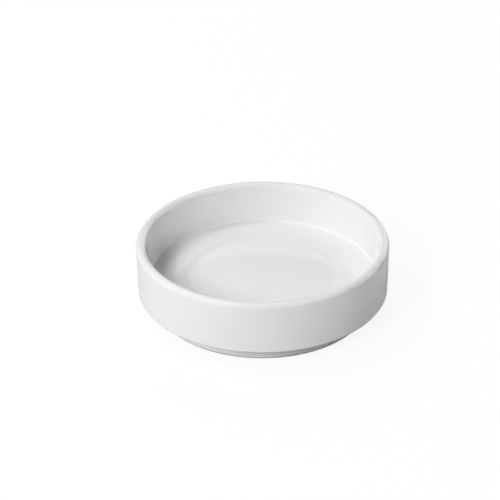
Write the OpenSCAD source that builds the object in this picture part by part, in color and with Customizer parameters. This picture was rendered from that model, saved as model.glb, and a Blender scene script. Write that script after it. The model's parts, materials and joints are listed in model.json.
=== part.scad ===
// Round stacking butter pat dish: one fired porcelain body under two separate skins of glaze.
// Millimetres, +Z up, origin on the table under the middle of the foot.
// All sizes are those of the finished dish, over the glaze, unless a comment says otherwise.

/* [Dish] */
// Diameter over the rim
rim_d = 90; // [75:1:105]
// Height from the table to the top of the rim
dish_h = 26; // [22:0.5:36]

/* [Wall] */
// Thickness of the wall at its full-round rim
rim_t = 3.5; // [2.5:0.1:5]
// Lean of the outside of the wall, in degrees from upright
wall_lean = 1.3; // [0:0.1:6]
// Radius of the body along the bottom edge of the wall, under the glaze
edge_r = 0.75; // [0.2:0.05:1.5]
// Thickness from the stacking shoulder up to the flat disc of the well
shoulder_t = 4.4; // [3.5:0.1:8]

/* [Well] */
// Lean of the inside of the wall, in degrees from upright
well_lean = 4.5; // [0:0.5:10]
// Radius of the cove between the wall and the floor
cove_r = 0.7; // [0.5:0.1:6]
// Width of the level band of floor, from the corner of the well in to the ramp
band_w = 11; // [8:0.1:16]
// Width of the faint ramp that rises from the flat disc to the band
ramp_w = 4; // [2:0.1:6]
// Rise of that ramp
ramp_h = 0.35; // [0.1:0.05:0.6]

/* [Foot] */
// Height of the foot, from the table to the stacking shoulder
foot_h = 6.4; // [5:0.1:12]
// Play between the foot and the mouth of the dish that it stacks in
stack_gap = 3.3; // [1:0.1:6]
// Radius in the corner between the foot and the shoulder
shoulder_r = 1; // [0.3:0.1:1.5]
// Width of the foot ring at the table
foot_w = 4; // [3:0.1:8]
// Radius on the two bare edges of the foot ring
bare_r = 0.8; // [0.3:0.1:1]
// Thickness of the floor over the recess in the base
base_t = 4; // [2.5:0.1:7]
// Lean of the inner side of the foot ring, in degrees from upright
recess_lean = 6; // [0:0.5:15]
// Radius in the corner of the recess
recess_r = 2; // [0.5:0.1:3]

/* [Glaze] */
// Thickness of the glaze
glaze_t = 0.25; // [0.15:0.05:0.4]
// Height above the table at which the glaze stops on both sides of the foot ring
glaze_line = 1; // [0.9:0.1:2]

/* [Hidden] */
// Largest turn between two points of an arc, in degrees
arc_step = 7.5;
// Fewest steps along an arc
arc_steps = 3;
// Sides of the round shapes
round_sides = 180;
body_color = [0.93, 0.92, 0.89];
glaze_color = [0.96, 0.96, 0.95];

rim_r = rim_t / 2;
rim_c = [rim_d / 2 - rim_r, dish_h - rim_r];
foot_r = rim_d / 2 - rim_t - stack_gap;
floor_z = foot_h + shoulder_t;
band_z = floor_z + ramp_h;
recess_z = floor_z - base_t;

// Bottom edge of the wall: its arc touches the shoulder and the leaning outside of the wall
edge_glazed_r = edge_r + glaze_t;
edge_z = foot_h + edge_glazed_r;
edge_x = rim_c.x + (rim_r - edge_glazed_r + (edge_z - rim_c.y) * sin(wall_lean)) / cos(wall_lean);

// Cove: its arc touches the leaning inside of the wall and the level band
cove_z = band_z + cove_r;
cove_c = [well_x(cove_z, cove_r), cove_z];

// Ramp: two arcs that bend by the same angle, one up from the disc and one over into the band
disc_r = well_x(band_z, 0) - band_w - ramp_w;
ramp_bend = 2 * atan(ramp_h / ramp_w);
ramp_r = ramp_w / (2 * sin(ramp_bend));

// Foot ring: its inner side leans in from the table up to the recess
ring_x = foot_r - foot_w;
recess_c_z = recess_z - recess_r;
recess_c = [ring_x - recess_c_z * tan(recess_lean) - recess_r / cos(recess_lean), recess_c_z];
bare_inner_x = ring_x - bare_r * tan(recess_lean) + (glaze_t + bare_r) / cos(recess_lean);
bare_outer_x = foot_r - glaze_t - bare_r;

// Points along an arc about c, from angle a to angle b
function arc(c, r, a, b) =
    let (steps = max(arc_steps, ceil(abs(b - a) / arc_step)))
    [for (i = [0:steps]) let (t = a + (b - a) * i / steps) c + r * [cos(t), sin(t)]];

// Distance from the axis to the inside of the wall at a height, less a gap measured square to the wall
function well_x(height, gap) =
    rim_c.x - (rim_r + gap - (height - rim_c.y) * sin(well_lean)) / cos(well_lean);

function reversed(points) = [for (i = [len(points) - 1:-1:0]) points[i]];

function without_first(points) = [for (i = [1:len(points) - 1]) points[i]];

// Outside of the dish, from the glaze line up over the rim and down to the middle of the floor,
// set back into the body by inset
function coat_path(inset) = concat(
    [[foot_r - inset, glaze_line]],
    arc([foot_r + shoulder_r, foot_h - shoulder_r], shoulder_r + inset, 180, 90),
    arc([edge_x, edge_z], edge_glazed_r - inset, -90, -wall_lean),
    arc(rim_c, rim_r - inset, -wall_lean, 180 - well_lean),
    arc(cove_c, cove_r + inset, -well_lean, -90),
    arc([disc_r + ramp_w, band_z - ramp_r], ramp_r - inset, 90, 90 + ramp_bend),
    without_first(arc([disc_r, floor_z + ramp_r], ramp_r + inset, ramp_bend - 90, -90)),
    [[0, floor_z - inset]]
);

// Recess in the base, from its middle out to the glaze line, set back into the body by inset
function base_path(inset) = concat(
    [[0, recess_z + inset]],
    arc(recess_c, recess_r + inset, 90, recess_lean),
    [[ring_x - glaze_line * tan(recess_lean) + inset / cos(recess_lean), glaze_line]]
);

// Bare end of the foot ring, which stands on the table
function bare_foot() = concat(
    arc([bare_inner_x, bare_r], bare_r, 180 + recess_lean, 270),
    arc([bare_outer_x, bare_r], bare_r, 270, 360)
);

module turned(section) {
    rotate_extrude($fn = round_sides)
        polygon(section);
}

// Fired body of the dish, bare only along the foot
module porcelain_body() {
    color(body_color)
        turned(concat(coat_path(glaze_t), base_path(glaze_t), bare_foot()));
}

// Glaze over the foot, the shoulder, the wall, the rim and the well
module glaze_coat() {
    color(glaze_color)
        turned(concat(coat_path(0), reversed(coat_path(glaze_t))));
}

// Glaze in the recess of the base, which the bare foot ring parts from the rest
module base_glaze() {
    color(glaze_color)
        turned(concat(base_path(0), reversed(base_path(glaze_t))));
}

porcelain_body();
glaze_coat();
base_glaze();
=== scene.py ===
"""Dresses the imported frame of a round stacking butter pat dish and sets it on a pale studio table."""

import json
import logging
import math
from collections.abc import Mapping, Sequence
from dataclasses import dataclass
from enum import Enum
from functools import reduce

import bpy
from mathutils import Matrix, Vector


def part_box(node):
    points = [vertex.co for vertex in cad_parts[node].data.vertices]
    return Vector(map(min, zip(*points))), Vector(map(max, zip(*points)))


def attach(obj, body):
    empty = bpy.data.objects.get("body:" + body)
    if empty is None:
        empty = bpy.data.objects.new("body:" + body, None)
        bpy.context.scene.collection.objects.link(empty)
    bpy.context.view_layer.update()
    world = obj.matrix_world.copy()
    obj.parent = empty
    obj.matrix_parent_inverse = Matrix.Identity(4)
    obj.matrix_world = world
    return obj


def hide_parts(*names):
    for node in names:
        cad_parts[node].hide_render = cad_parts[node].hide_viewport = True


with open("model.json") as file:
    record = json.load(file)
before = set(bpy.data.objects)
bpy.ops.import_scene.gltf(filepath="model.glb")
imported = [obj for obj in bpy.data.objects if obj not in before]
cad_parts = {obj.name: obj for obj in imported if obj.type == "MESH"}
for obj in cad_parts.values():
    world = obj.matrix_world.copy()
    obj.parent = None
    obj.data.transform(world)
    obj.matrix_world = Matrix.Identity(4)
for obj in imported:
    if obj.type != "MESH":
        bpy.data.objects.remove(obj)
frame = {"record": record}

Point = tuple[float, float]
Span = tuple[float, float]
Colour = tuple[float, float, float]

MM = 0.001
# Largest turn between two points of an arc, and the fewest steps along one
ARC_STEP = math.radians(3.0)
ARC_STEPS = 6
ORIGIN = (0.0, 0.0, 0.0)
UPRIGHT = (0.0, 0.0, 1.0)
WHITE: Colour = (1.0, 1.0, 1.0)
log = logging.getLogger("butter_pat_dish")


class Slot(Enum):
    """Material slots of the record."""

    BARE = "bare_porcelain"
    GLAZE = "white_glaze"


class Ray(Enum):
    """Kinds of ray that see the table as a plain white ground."""

    CAMERA = "Is Camera Ray"
    GLOSSY = "Is Glossy Ray"
    TRANSMISSION = "Is Transmission Ray"


class Reach(Enum):
    """What a soft light gives the dish."""

    LIGHT = "light without a reflection of the lamp"
    GLOSS = "reflection alone"


# Section of the dish


def arc(centre: Point, radius: float, start: float, end: float) -> list[Point]:
    """Points along a round stretch of the section.

    Args:
        centre: Middle of the arc, as radius and height.
        radius: Radius of the arc.
        start: Angle of the first point, in radians.
        end: Angle of the last point, in radians.

    Returns:
        The points, both ends included.
    """
    count = max(ARC_STEPS, math.ceil(abs(end - start) / ARC_STEP))
    angles = [start + (end - start) * i / count for i in range(count + 1)]
    return [(centre[0] + radius * math.cos(a), centre[1] + radius * math.sin(a)) for a in angles]


def filled(path: Sequence[Point], longest: float, guard: float) -> list[Point]:
    """Divides the long straight stretches of a path, so that their faces stay even and shade flat.

    Args:
        path: Points of the section.
        longest: Longest stretch that stays whole.
        guard: Distance from each end of a long stretch to its first extra point.

    Returns:
        The path with the extra points.
    """
    points = [path[0]]
    for start, end in zip(path, path[1:]):
        length = math.dist(start, end)
        if length > longest:
            count = math.ceil((length - 2 * guard) / longest)
            shares = [(guard + (length - 2 * guard) * i / count) / length for i in range(count + 1)]
            points += [tuple(a + (b - a) * share for a, b in zip(start, end)) for share in shares]
        points.append(end)
    return points


@dataclass(frozen=True)
class DishSection:
    """Half section of the dish, in metres and radians.

    Sizes are finished ones, over the glaze. Only edge_radius and bare_radius are those of the body.
    """

    rim_radius: float
    height: float
    foot_radius: float
    foot_height: float
    floor_height: float
    recess_height: float
    ring_radius: float
    glaze: float
    glaze_line: float
    rim_thickness: float = 3.5 * MM
    wall_lean: float = math.radians(1.3)
    edge_radius: float = 0.75 * MM
    shoulder_radius: float = 1.0 * MM
    well_lean: float = math.radians(4.5)
    cove_radius: float = 0.7 * MM
    band_width: float = 11.0 * MM
    ramp_width: float = 4.0 * MM
    ramp_height: float = 0.35 * MM
    bare_radius: float = 0.8 * MM
    recess_lean: float = math.radians(6.0)
    recess_radius: float = 2.0 * MM

    @classmethod
    def of_frame(cls) -> "DishSection":
        """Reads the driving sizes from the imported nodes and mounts.

        Returns:
            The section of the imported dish.
        """
        mounts = {mount["name"]: mount for mount in frame["record"]["mounts"]}
        coat_low, coat_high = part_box("glaze_coat")
        glaze = coat_high.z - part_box("porcelain_body")[1].z
        recess_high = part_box("base_glaze")[1]
        recess_slope = coat_low.z * math.tan(cls.recess_lean) - glaze / math.cos(cls.recess_lean)
        return cls(
            rim_radius=max(coat_high.x, coat_high.y),
            height=coat_high.z,
            foot_radius=mounts["stacking_foot"]["dims"]["r_mm"] * MM,
            foot_height=mounts["stacking_shoulder"]["pos_m"][2],
            floor_height=mounts["well_floor"]["pos_m"][2],
            recess_height=recess_high.z - glaze,
            ring_radius=max(recess_high.x, recess_high.y) + recess_slope,
            glaze=glaze,
            glaze_line=coat_low.z,
        )

    @property
    def rim_centre(self) -> Point:
        """Middle of the full-round rim."""
        return self.rim_radius - self.rim_thickness / 2, self.height - self.rim_thickness / 2

    @property
    def edge_centre(self) -> Point:
        """Middle of the arc along the bottom edge of the wall.

        Returns:
            Its radius and height: the arc touches the shoulder and the outside of the wall.
        """
        x, z = self.rim_centre
        radius = self.edge_radius + self.glaze
        height = self.foot_height + radius
        lean = (height - z) * math.sin(self.wall_lean)
        return x + (self.rim_thickness / 2 - radius + lean) / math.cos(self.wall_lean), height

    @property
    def band_height(self) -> float:
        """Height of the level band along the wall of the well."""
        return self.floor_height + self.ramp_height

    @property
    def disc_radius(self) -> float:
        """Radius of the flat disc in the middle of the floor."""
        return self.well_radius(self.band_height, 0.0) - self.band_width - self.ramp_width

    @property
    def cove_centre(self) -> Point:
        """Middle of the cove, which touches the inside of the wall and the level band."""
        height = self.band_height + self.cove_radius
        return self.well_radius(height, self.cove_radius), height

    @property
    def recess_centre(self) -> Point:
        """Middle of the rounded corner in the recess of the base."""
        height = self.recess_height - self.recess_radius
        return self.ring_side(height, -self.recess_radius), height

    def well_radius(self, height: float, gap: float) -> float:
        """Radius of the inside of the wall at a height, less a gap measured square to the wall.

        Args:
            height: Height above the table.
            gap: Gap to the wall.

        Returns:
            The radius.
        """
        x, z = self.rim_centre
        reach = self.rim_thickness / 2 + gap - (height - z) * math.sin(self.well_lean)
        return x - reach / math.cos(self.well_lean)

    def ring_side(self, height: float, inset: float) -> float:
        """Radius of the inner side of the foot ring at a height, set back into the body by inset."""
        setback = inset / math.cos(self.recess_lean)
        return self.ring_radius - height * math.tan(self.recess_lean) + setback

    def ramp(self, inset: float) -> list[Point]:
        """Faint ramp of the floor, from the flat disc out and up to the level band.

        Args:
            inset: How far the path lies under the finished surface.

        Returns:
            Two arcs that bend by the same angle, as one path.
        """
        bend = 2 * math.atan(self.ramp_height / self.ramp_width)
        radius = self.ramp_width / (2 * math.sin(bend))
        low = (self.disc_radius, self.floor_height + radius)
        high = (self.disc_radius + self.ramp_width, self.band_height - radius)
        rising = arc(low, radius + inset, -math.pi / 2, bend - math.pi / 2)
        levelling = arc(high, radius - inset, math.pi / 2 + bend, math.pi / 2)
        return rising + levelling[1:]

    def coat(self, inset: float) -> list[Point]:
        """Outside of the dish, from the middle of the floor over the rim and down to the foot.

        Args:
            inset: How far the path lies under the finished surface.

        Returns:
            The path, which ends above the glaze line.
        """
        half_rim = self.rim_thickness / 2
        edge = self.edge_radius + self.glaze
        corner = (self.foot_radius + self.shoulder_radius, self.foot_height - self.shoulder_radius)
        return [
            (0.0, self.floor_height - inset),
            *self.ramp(inset),
            *arc(self.cove_centre, self.cove_radius + inset, -math.pi / 2, -self.well_lean),
            *arc(self.rim_centre, half_rim - inset, math.pi - self.well_lean, -self.wall_lean),
            *arc(self.edge_centre, edge - inset, -self.wall_lean, -math.pi / 2),
            *arc(corner, self.shoulder_radius + inset, math.pi / 2, math.pi),
        ]

    def recess(self, inset: float) -> list[Point]:
        """Recess in the base, from the foot ring in to the middle.

        Args:
            inset: How far the path lies under the finished surface.

        Returns:
            The path, which starts above the glaze line.
        """
        corner = arc(self.recess_centre, self.recess_radius + inset, self.recess_lean, math.pi / 2)
        return [*corner, (0.0, self.recess_height + inset)]

    def bare_foot(self) -> list[Point]:
        """Bare end of the foot ring, which stands on the table.

        Returns:
            The path, from the outside of the ring round to its inside.
        """
        radius = self.bare_radius
        outer = (self.foot_radius - self.glaze - radius, radius)
        inner = (self.ring_side(radius, self.glaze + radius), radius)
        return [
            *arc(outer, radius, 0.0, -math.pi / 2),
            *arc(inner, radius, -math.pi / 2, self.recess_lean - math.pi),
        ]


# Shader maths


def opaque(colour: Colour) -> tuple[float, ...]:
    """A colour with the full alpha that colour sockets ask for."""
    return (*colour, 1.0)


class Value:
    """One output socket, with the arithmetic that the finishes use."""

    def __init__(self, graph: "Graph", socket: bpy.types.NodeSocket) -> None:
        """Wraps a socket of a graph."""
        self.graph = graph
        self.socket = socket

    def math(self, operation: str, *operands: "Value | float") -> "Value":
        """Adds one Math node.

        Args:
            operation: The node's operation.
            operands: Its inputs, in order.

        Returns:
            The node's result.
        """
        sockets = dict(enumerate(operands))
        return self.graph.value("ShaderNodeMath", {"operation": operation}, sockets)

    def __add__(self, other: "Value | float") -> "Value":
        """Sum."""
        return self.math("ADD", self, other)

    def __sub__(self, other: "Value | float") -> "Value":
        """Difference."""
        return self.math("SUBTRACT", self, other)

    def __rsub__(self, other: float) -> "Value":
        """Difference from a number."""
        return self.math("SUBTRACT", other, self)

    def __mul__(self, other: "Value | float") -> "Value":
        """Product."""
        return self.math("MULTIPLY", self, other)

    __radd__ = __add__
    __rmul__ = __mul__

    def larger(self, other: "Value | float") -> "Value":
        """The larger of two values."""
        return self.math("MAXIMUM", self, other)

    def root(self) -> "Value":
        """Square root."""
        return self.math("SQRT", self)

    def rise(self, low: float, high: float) -> "Value":
        """Smooth step from 0 to 1, which falls instead where low is above high.

        Args:
            low: Where the step is 0.
            high: Where the step is 1.

        Returns:
            The step, from 0 to 1.
        """
        first, last, start, end = (low, high, 0.0, 1.0) if low < high else (high, low, 1.0, 0.0)
        sockets = {"Value": self, "From Min": first, "From Max": last, "To Min": start, "To Max": end}
        return self.graph.value("ShaderNodeMapRange", {"interpolation_type": "SMOOTHSTEP"}, sockets)


class Graph:
    """Node tree of one material, with its shader and its place on the piece."""

    # Sockets of a Mix node that carry colours: its share, its two colours and its result
    MIX_SHARE, MIX_UNDER, MIX_OVER, MIX_RESULT = 0, 6, 7, 2

    def __init__(self, name: str) -> None:
        """Starts an empty material.

        Args:
            name: Name of the material.
        """
        self.material = bpy.data.materials.new(name)
        self.material.use_nodes = True
        self.tree = self.material.node_tree
        self.tree.nodes.clear()

    def node(
        self,
        kind: str,
        settings: Mapping[str, object] | None = None,
        sockets: Mapping[str | int, object] | None = None,
    ) -> bpy.types.Node:
        """Adds a node.

        Args:
            kind: Type of the node.
            settings: Properties, which are set first.
            sockets: Values or links of its inputs, by name or number.

        Returns:
            The node.
        """
        node = self.tree.nodes.new(kind)
        for key, setting in (settings or {}).items():
            setattr(node, key, setting)
        for key, given in (sockets or {}).items():
            if isinstance(given, Value):
                self.tree.links.new(given.socket, node.inputs[key])
            else:
                node.inputs[key].default_value = given
        return node

    def value(
        self,
        kind: str,
        settings: Mapping[str, object] | None = None,
        sockets: Mapping[str | int, object] | None = None,
        output: str | int = 0,
    ) -> Value:
        """Adds a node and returns one of its outputs."""
        return Value(self, self.node(kind, settings, sockets).outputs[output])

    def place(self) -> Value:
        """Object coordinates, in metres."""
        return self.value("ShaderNodeTexCoord", output="Object")

    def axes(self, place: Value) -> tuple[Value, ...]:
        """The three coordinates of a place."""
        split = self.node("ShaderNodeSeparateXYZ", None, {"Vector": place})
        return tuple(Value(self, split.outputs[axis]) for axis in "XYZ")

    def noise(self, place: Value, wavelength: float, detail: float = 1.0) -> Value:
        """Noise from 0 to 1, with features about one wavelength across."""
        sockets = {"Vector": place, "Scale": 1.0 / wavelength, "Detail": detail}
        return self.value("ShaderNodeTexNoise", {"noise_dimensions": "3D"}, sockets, "Fac")

    def tinted(self, share: Value, under: "Value | Colour", over: Colour) -> Value:
        """Colour that goes from one to another.

        Args:
            share: How much of the second colour shows, from 0 to 1.
            under: The first colour.
            over: The second colour.

        Returns:
            The mixed colour.
        """
        base = under if isinstance(under, Value) else opaque(under)
        sockets = {self.MIX_SHARE: share, self.MIX_UNDER: base, self.MIX_OVER: opaque(over)}
        return self.value("ShaderNodeMix", {"data_type": "RGBA"}, sockets, self.MIX_RESULT)

    def mixed(self, share: Value, under: Value, over: Value) -> Value:
        """Shader that goes from under to over with a share from 0 to 1."""
        return self.value("ShaderNodeMixShader", None, dict(enumerate((share, under, over))))

    def bump(self, height: Value) -> Value:
        """Normal of a surface with a relief of this height, in metres."""
        sockets = {"Strength": 1.0, "Distance": 1.0, "Height": height}
        return self.value("ShaderNodeBump", None, sockets)

    def surface(self, shader: Value) -> bpy.types.Material:
        """Ends the tree in its output and returns the material."""
        self.node("ShaderNodeOutputMaterial", None, {"Surface": shader})
        return self.material


# Finishes


@dataclass(frozen=True)
class WhiteGlaze:
    """Clear glossy glaze fired over white porcelain."""

    section: DishSection
    white: Colour = (0.8, 0.8, 0.796)
    # Lighter white, for the painted light in the rounded corners and for the random lighter mottle
    mottle_and_corner_light: Colour = (0.83, 0.836, 0.832)
    thinned: Colour = (0.785, 0.773, 0.755)
    speck: Colour = (0.52, 0.48, 0.43)
    roughness: float = 0.045
    ior: float = 1.52
    # Reach and strength of the painted light in the rounded corners
    corner_light_reach: float = 1.6 * MM
    corner_light_depth: float = 0.58
    thin_reach: float = 1.1 * MM
    thin_depth: Span = (0.25, 0.75)
    mottle_wavelength: float = 9.0 * MM
    mottle_detail: float = 3.0
    mottle_band: Span = (0.45, 0.8)
    mottle_depth: float = 0.25
    mottle_roughness: float = 0.03
    peel_wavelength: float = 1.8 * MM
    peel_height: float = 0.0012 * MM
    wave_wavelength: float = 14.0 * MM
    wave_height: float = 0.012 * MM
    speck_spacing: float = 7.0 * MM
    speck_radius: float = 0.16 * MM
    speck_core: float = 0.4
    speck_share: float = 0.08
    speck_depth: float = 0.35
    speck_roughness: float = 0.2

    def painted_corner_light(self, radius: Value, height: Value) -> Value:
        """Share of painted corner light: glaze gathers in the three rounded corners, and is painted
        lighter there to lift their shade.

        Args:
            radius: Distance from the axis of the dish.
            height: Height above the table.

        Returns:
            A share from 0 to 1.
        """
        section = self.section
        diagonal = math.sqrt(0.5)
        cove_x, cove_z = section.cove_centre
        cove = diagonal * section.cove_radius
        recess_x, recess_z = section.recess_centre
        recess = diagonal * section.recess_radius
        corners = [
            (cove_x + cove, cove_z - cove),
            (section.foot_radius, section.foot_height),
            (recess_x + recess, recess_z + recess),
        ]
        shares = []
        for x, z in corners:
            across, up = radius - x, height - z
            shares.append((across * across + up * up).root().rise(self.corner_light_reach, 0.0))
        return reduce(Value.larger, shares)

    def specks(self, graph: Graph, place: Value) -> Value:
        """Share of the few faint specks, each a dot in a cell of its own.

        Args:
            graph: The material's graph.
            place: Object coordinates.

        Returns:
            A share from 0 to 1.
        """
        cells = graph.node(
            "ShaderNodeTexVoronoi",
            {"feature": "F1", "voronoi_dimensions": "3D"},
            {"Vector": place, "Scale": 1.0 / self.speck_spacing, "Randomness": 1.0},
        )
        cell_colour = Value(graph, cells.outputs["Color"])
        chance = graph.value("ShaderNodeSeparateColor", None, {"Color": cell_colour})
        spot = self.speck_radius / self.speck_spacing
        dot = Value(graph, cells.outputs["Distance"]).rise(spot, spot * self.speck_core)
        return dot * chance.math("LESS_THAN", chance, self.speck_share)

    def material(self) -> bpy.types.Material:
        """Makes the material.

        Returns:
            The glaze's material.
        """
        graph = Graph("white_glaze")
        place = graph.place()
        x, y, height = graph.axes(place)
        radius = (x * x + y * y).root()

        crest = self.section.height
        thin = height.rise(crest - self.thin_reach, crest)
        mottle = graph.noise(place, self.mottle_wavelength, self.mottle_detail)
        specks = self.specks(graph, place)
        least, most = self.thin_depth
        # Lighter in the rounded corners: painted light that lifts the shade there, over glaze that
        # gathers in them
        colour = graph.tinted(self.painted_corner_light(radius, height) * self.corner_light_depth, self.white, self.mottle_and_corner_light)
        colour = graph.tinted(thin * (least + (most - least) * mottle), colour, self.thinned)
        colour = graph.tinted(mottle.rise(*self.mottle_band) * self.mottle_depth, colour, self.mottle_and_corner_light)
        colour = graph.tinted(specks * self.speck_depth, colour, self.speck)

        peel = graph.noise(place, self.peel_wavelength) * self.peel_height
        wave = graph.noise(place, self.wave_wavelength) * self.wave_height
        bump = graph.bump(peel + wave)
        roughness = self.roughness + self.mottle_roughness * mottle + self.speck_roughness * specks
        sockets = {"Base Color": colour, "Roughness": roughness, "IOR": self.ior, "Normal": bump}
        return graph.surface(graph.value("ShaderNodeBsdfPrincipled", None, sockets))


@dataclass(frozen=True)
class BarePorcelain:
    """Fired porcelain without glaze, on the foot ring that is wiped before firing. Its grey is partly
    the clay's own tone and partly painted shade where the foot meets the table.
    """

    # Grey of the bare ring: partly the clay's own tone, partly painted contact shadow where the foot
    # meets the table
    clay_and_contact_shade: Colour = (0.6, 0.582, 0.552)
    scuffed: Colour = (0.44, 0.43, 0.415)
    roughness: float = 0.78
    grain_wavelength: float = 0.22 * MM
    grain_detail: float = 2.0
    grain_height: float = 0.006 * MM
    grain_band: Span = (0.35, 0.85)
    grain_depth: float = 0.3
    scuff_wavelength: float = 2.5 * MM
    scuff_detail: float = 4.0
    scuff_reach: float = 0.12 * MM
    scuff_band: Span = (0.48, 0.72)
    scuff_depth: float = 0.55
    scuff_polish: float = 0.18

    def material(self) -> bpy.types.Material:
        """Makes the material.

        Returns:
            The bare body's material.
        """
        graph = Graph("bare_porcelain")
        place = graph.place()
        height = graph.axes(place)[-1]
        grain = graph.noise(place, self.grain_wavelength, self.grain_detail)
        smear = graph.noise(place, self.scuff_wavelength, self.scuff_detail)
        worn = height.rise(self.scuff_reach, 0.0) * smear.rise(*self.scuff_band)
        colour = graph.tinted(grain.rise(*self.grain_band) * self.grain_depth, self.clay_and_contact_shade, self.scuffed)
        colour = graph.tinted(worn * self.scuff_depth, colour, self.scuffed)
        roughness = self.roughness - self.scuff_polish * worn
        bump = graph.bump(grain * self.grain_height)
        sockets = {"Base Color": colour, "Roughness": roughness, "Normal": bump}
        return graph.surface(graph.value("ShaderNodeBsdfPrincipled", None, sockets))


# Pieces of the dish


@dataclass(frozen=True)
class Lathe:
    """Turns a drawn section about the upright axis of the dish.

    Attributes:
        segments: Steps round the axis.
        longest: Longest straight stretch of the section that stays whole.
        guard: Distance from each end of a divided stretch to its first extra point.
        merge: Distance within which points become one.
    """

    segments: int = 192
    longest: float = 1.6 * MM
    guard: float = 0.25 * MM
    merge: float = 0.001 * MM

    def turn(self, name: str, section: Sequence[Point]) -> bpy.types.Object:
        """Draws a section from axis to axis, point by point, and spins it into a closed skin.

        Args:
            name: Name of the piece.
            section: The section, as radius and height.

        Returns:
            The turned piece.
        """
        path = filled(section, self.longest, self.guard)
        bpy.ops.object.select_all(action="DESELECT")
        bpy.ops.mesh.primitive_plane_add(size=self.guard, location=ORIGIN)
        piece = bpy.context.object
        piece.name = piece.data.name = name
        bpy.ops.object.mode_set(mode="EDIT")
        # The small plane shrinks to one point, which moves to the start of the section
        bpy.ops.mesh.select_all(action="SELECT")
        bpy.ops.mesh.merge(type="CENTER")
        bpy.ops.transform.translate(value=(path[0][0], 0.0, path[0][1]))
        for (x0, z0), (x1, z1) in zip(path, path[1:]):
            step = (x1 - x0, 0.0, z1 - z0)
            bpy.ops.mesh.extrude_region_move(TRANSFORM_OT_translate={"value": step})
        bpy.ops.mesh.select_all(action="SELECT")
        bpy.ops.mesh.spin(steps=self.segments, angle=math.tau, center=ORIGIN, axis=UPRIGHT)
        bpy.ops.mesh.select_all(action="SELECT")
        bpy.ops.mesh.remove_doubles(threshold=self.merge)
        bpy.ops.mesh.normals_make_consistent(inside=False)
        bpy.ops.object.mode_set(mode="OBJECT")
        bpy.ops.object.shade_smooth()
        return piece


@dataclass(frozen=True)
class ButterPatDish:
    """The dish: one fired body under two skins of glaze."""

    section: DishSection
    lathe: Lathe

    def bead(self, outer: Point, inner: Point, inward: bool) -> list[Point]:
        """Round end of a skin of glaze, where it stops on the foot ring.

        Args:
            outer: Place of the finished surface at the glaze line.
            inner: Place of the body's surface at the glaze line.
            inward: Whether the finished surface faces the axis.

        Returns:
            Points from the finished surface round to the body.
        """
        radius = abs(outer[0] - inner[0]) / 2
        middle = ((outer[0] + inner[0]) / 2, outer[1] + radius)
        start, end = (math.pi, math.tau) if inward else (0.0, -math.pi)
        return arc(middle, radius, start, end)

    def porcelain_body(self) -> bpy.types.Object:
        """Builds the fired body, bare along the foot.

        Returns:
            The body.
        """
        section = self.section
        path = [*section.coat(section.glaze), *section.bare_foot(), *section.recess(section.glaze)]
        return self.lathe.turn("fired_body", path)

    def glaze_coat(self) -> bpy.types.Object:
        """Builds the skin of glaze over the foot, the wall, the rim and the well.

        Returns:
            The skin.
        """
        section = self.section
        outer = (section.foot_radius, section.glaze_line)
        inner = (section.foot_radius - section.glaze, section.glaze_line)
        end = self.bead(outer, inner, inward=False)
        path = [*section.coat(0.0), *end, *reversed(section.coat(section.glaze))]
        return self.lathe.turn("glaze_skin", path)

    def base_glaze(self) -> bpy.types.Object:
        """Builds the skin of glaze in the recess of the base.

        Returns:
            The skin.
        """
        section = self.section
        line = section.glaze_line
        outer = (section.ring_side(line, 0.0), line)
        inner = (section.ring_side(line, section.glaze), line)
        end = self.bead(outer, inner, inward=True)
        path = [*reversed(section.recess(0.0)), *end, *section.recess(section.glaze)]
        return self.lathe.turn("recess_glaze_skin", path)

    def build(self) -> None:
        """Builds and dresses every piece, and seats it on the frame."""
        glaze = WhiteGlaze(self.section).material()
        bare = BarePorcelain().material()
        pieces = [
            (self.porcelain_body(), "porcelain_body", Slot.BARE, bare),
            (self.glaze_coat(), "glaze_coat", Slot.GLAZE, glaze),
            (self.base_glaze(), "base_glaze", Slot.GLAZE, glaze),
        ]
        for piece, node, slot, material in pieces:
            piece.data.materials.clear()
            piece.data.materials.append(material)
            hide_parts(node)
            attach(piece, "root")
            log.info("%s stands for %s, %d faces", piece.name, node, len(piece.data.polygons))


# Studio


@dataclass(frozen=True)
class PaleTable:
    """White table under the dish, which keeps its soft shadow.

    Attributes:
        size: Side of the table, in metres.
        albedo: Finish that lights the dish from below.
        ground: Share of plain white in what the camera sees.
        ground_in_gloss: Share of plain white in what the glaze mirrors.
        seen_albedo: Finish that carries the shadow, for the camera alone.
    """

    size: float = 8.0
    albedo: Colour = (0.65, 0.65, 0.65)
    ground: float = 0.9
    ground_in_gloss: float = 0.15
    seen_albedo: Colour = (0.97, 0.97, 0.97)

    def material(self) -> bpy.types.Material:
        """Makes the table's finish: diffuse, with part of its white plain for the eye and for gloss.

        Returns:
            The table's material.
        """
        graph = Graph("pale_table")
        path = graph.node("ShaderNodeLightPath")
        camera, glossy, transmitted = (Value(graph, path.outputs[ray.value]) for ray in Ray)
        share = (self.ground * camera).larger(self.ground_in_gloss * glossy.larger(transmitted))
        grey = graph.value("ShaderNodeBsdfDiffuse", None, {"Color": opaque(self.albedo)})
        white = graph.value("ShaderNodeBsdfDiffuse", None, {"Color": opaque(self.seen_albedo)})
        plain = graph.value("ShaderNodeEmission", None, {"Color": opaque(WHITE), "Strength": 1.0})
        return graph.surface(graph.mixed(share, graph.mixed(camera, grey, white), plain))

    def build(self) -> None:
        """Lays the table at the foot of the dish."""
        bpy.ops.object.select_all(action="DESELECT")
        bpy.ops.mesh.primitive_plane_add(size=self.size, location=ORIGIN)
        table = bpy.context.object
        table.name = table.data.name = "pale_table"
        table.data.materials.append(self.material())


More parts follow.
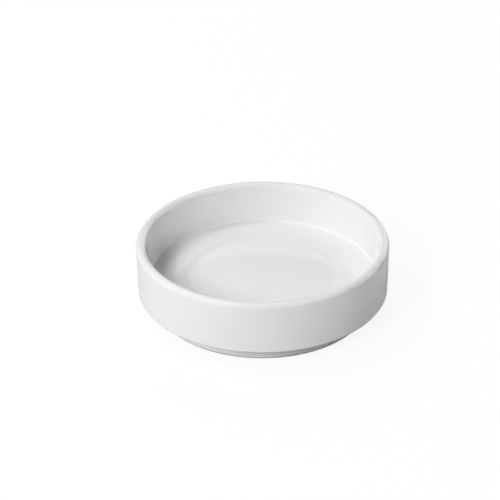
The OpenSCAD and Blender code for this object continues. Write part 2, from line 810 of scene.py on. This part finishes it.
@dataclass(frozen=True)
class SoftBox:
    """Square soft light, aimed at the dish.

    Attributes:
        name: Name of the lamp.
        azimuth: Direction to the lamp, in degrees from +X; 270 is the camera's side.
        elevation: Height of the lamp over the rim, in degrees.
        width: Side of the lamp, in metres.
        radiance: Brightness of its face.
        reach: What it gives the dish.
        distance: Distance from the middle of the rim, in metres.
    """

    name: str
    azimuth: float
    elevation: float
    width: float
    radiance: float
    reach: Reach
    distance: float = 1.2

    def hang(self, target: Vector) -> None:
        """Hangs the light so that it looks at a target.

        Args:
            target: What it is aimed at.
        """
        azimuth, elevation = math.radians(self.azimuth), math.radians(self.elevation)
        level = math.cos(elevation)
        away = Vector((math.cos(azimuth) * level, math.sin(azimuth) * level, math.sin(elevation)))
        bpy.ops.object.light_add(type="AREA", location=target + away * self.distance)
        lamp = bpy.context.object
        lamp.name = lamp.data.name = self.name
        lamp.rotation_euler = away.to_track_quat("Z", "Y").to_euler()
        lamp.data.shape = "SQUARE"
        lamp.data.size = self.width
        lamp.data.energy = self.radiance * self.width**2 * math.pi
        lamp.visible_glossy = self.reach is Reach.GLOSS
        lamp.visible_diffuse = self.reach is Reach.LIGHT


@dataclass(frozen=True)
class Studio:
    """Soft lights and the plain surroundings."""

    # Name, azimuth, elevation, width, radiance and reach of each light
    boxes: tuple[SoftBox, ...] = (
        SoftBox("key_light", 240.0, 32.0, 0.35, 25.0, Reach.LIGHT),
        SoftBox("left_light", 218.0, 45.0, 0.35, 2.4, Reach.LIGHT),
        SoftBox("side_light", 170.0, 58.0, 0.35, 13.4, Reach.LIGHT),
        SoftBox("low_side_light", 150.0, 45.0, 0.35, 3.5, Reach.LIGHT),
        SoftBox("back_light", 90.0, 25.0, 0.9, 2.5, Reach.LIGHT),
        SoftBox("right_light", 22.0, 20.0, 0.6, 2.0, Reach.LIGHT),
        SoftBox("front_right_light", 345.0, 30.0, 0.6, 0.7, Reach.LIGHT),
        SoftBox("left_card", 200.0, 48.0, 1.0, 0.2, Reach.GLOSS),
        SoftBox("high_left_card", 228.0, 57.0, 0.4, 1.5, Reach.GLOSS),
        SoftBox("top_card", 15.0, 68.0, 0.8, 1.2, Reach.GLOSS),
        SoftBox("front_card", 300.0, 32.0, 0.6, 1.4, Reach.GLOSS),
        SoftBox("front_right_card", 332.0, 30.0, 0.6, 2.0, Reach.GLOSS),
        SoftBox("right_card", 15.0, 22.0, 0.7, 2.2, Reach.GLOSS),
        SoftBox("back_right_card", 55.0, 13.0, 0.75, 2.0, Reach.GLOSS),
        SoftBox("back_card", 90.0, 25.0, 0.9, 0.27, Reach.GLOSS),
    )
    surroundings: float = 0.04

    def build(self, target: Vector) -> None:
        """Hangs the lights and sets the surroundings.

        Args:
            target: What the lights are aimed at.
        """
        for box in self.boxes:
            box.hang(target)
            log.info("%s hung at %.2f m", box.name, box.distance)
        world = bpy.data.worlds.new("plain_surroundings")
        bpy.context.scene.world = world
        world.use_nodes = True
        background = world.node_tree.nodes["Background"]
        background.inputs["Color"].default_value = opaque(WHITE)
        background.inputs["Strength"].default_value = self.surroundings


@dataclass(frozen=True)
class PhotoCamera:
    """Camera at the photograph's angle.

    Attributes:
        image: Side of the photograph, in pixels.
        aim_x: Pixel column on which the middle of the rim falls.
        aim_y: Pixel row on which the middle of the rim falls.
        focal: Focal length, in pixels.
        sensor: Width of the sensor, in millimetres.
        distance: Distance from the middle of the rim, in metres.
        elevation: Angle at which the camera looks down, in radians.
        roll: Turn about the line of sight, in radians.
        near: Nearest distance that shows, in metres.
        far: Farthest distance that shows, in metres.
    """

    image: float = 500.0
    aim_x: float = 262.1
    aim_y: float = 239.5
    focal: float = 2533.7
    sensor: float = 36.0
    distance: float = 0.9
    elevation: float = math.radians(29.67)
    roll: float = math.radians(-0.29)
    near: float = 0.01
    far: float = 100.0

    def build(self, target: Vector) -> None:
        """Sets the camera so that the target falls on the aimed pixel.

        Args:
            target: Middle of the rim.
        """
        back = Vector((0.0, -math.cos(self.elevation), math.sin(self.elevation)))
        bpy.ops.object.camera_add(location=target + back * self.distance)
        camera = bpy.context.object
        camera.name = "photo_camera"
        camera.rotation_euler = (-back).to_track_quat("-Z", "Y").to_matrix().to_euler()
        camera.rotation_euler.rotate_axis("Z", self.roll)
        lens = camera.data
        lens.sensor_width = self.sensor
        lens.lens = self.focal / self.image * self.sensor
        middle = (self.image - 1.0) / 2
        lens.shift_x = (middle - self.aim_x) / self.image
        lens.shift_y = (self.aim_y - middle) / self.image
        lens.clip_start, lens.clip_end = self.near, self.far
        bpy.context.scene.camera = camera


def main() -> None:
    """Builds the dish and its studio."""
    logging.basicConfig(level=logging.INFO, format="%(name)s: %(message)s")
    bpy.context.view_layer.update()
    section = DishSection.of_frame()
    ButterPatDish(section, Lathe()).build()
    PaleTable().build()
    rim_middle = Vector((0.0, 0.0, section.height))
    Studio().build(rim_middle)
    PhotoCamera().build(rim_middle)
    bpy.context.scene.view_settings.view_transform = "Standard"


if __name__ == "__main__":
    main()
